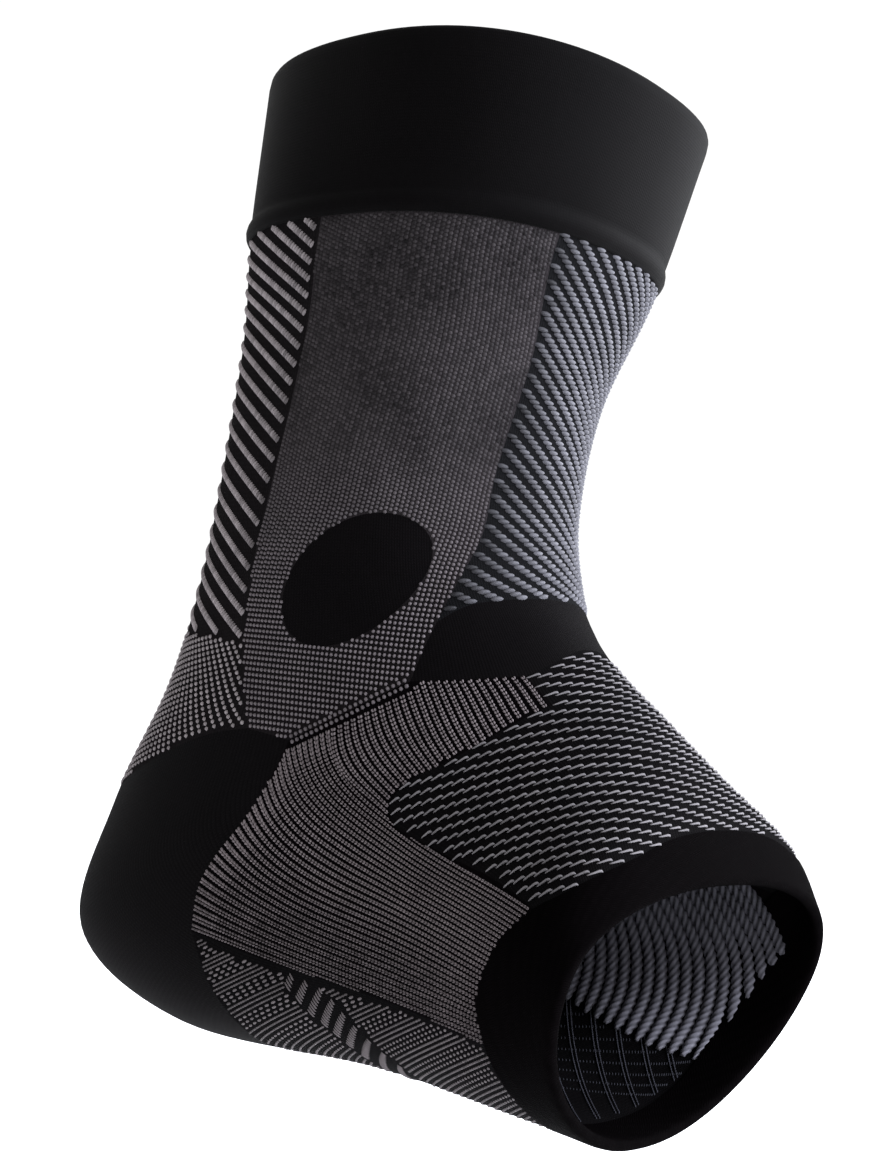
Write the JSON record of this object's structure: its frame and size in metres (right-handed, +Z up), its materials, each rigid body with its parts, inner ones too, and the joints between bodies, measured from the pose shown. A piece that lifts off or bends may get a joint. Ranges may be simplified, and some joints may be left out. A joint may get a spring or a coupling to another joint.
{
  "type": "knitted ankle sleeve",
  "caption": "Elastic knitted ankle sleeve, open at the leg and toes, with a turned top cuff, zoned ribbed panels, oval ankle pads, a heel cup and a toe band.",
  "frame": {"origin": "centre of the ankle, inside the hollow that the foot fills", "axes": "+Z up along the leg, -Y towards the toes, -X to the wearer's right; the knit borders mirror across x = 0, and the foot turns a little to -X towards the toes"},
  "size_m": [0.1042, 0.1611, 0.2118],
  "materials": {
    "band_knit": "smooth fine black elastic knit",
    "black_knit": "plain black elastic knit",
    "grey_knit": "fine plain grey knit on a black ground",
    "rib_knit": "fine grey ribs on a black ground",
    "rope_knit": "slanting grey ropes on a black ground",
    "stripe_knit": "grey diagonal stripes and dots on a black ground",
    "dash_knit": "rows of grey dashes on a black ground"
  },
  "bodies": {
    "root": {"top_cuff": "band_knit", "toe_band": "band_knit", "shin_panel": "rope_knit", "heel_cord_stripes": "stripe_knit", "heel_cord_panel": "stripe_knit", "heel_cup": "black_knit", "crease_band": "black_knit", "instep_panel": "dash_knit", "sole_panel": "dash_knit", "side_panel_right": "grey_knit", "side_panel_left": "grey_knit", "ankle_pad_right": "black_knit", "ankle_pad_left": "black_knit", "arch_panel_right": "rib_knit", "arch_panel_left": "rib_knit"}
  },
  "joints": []
}
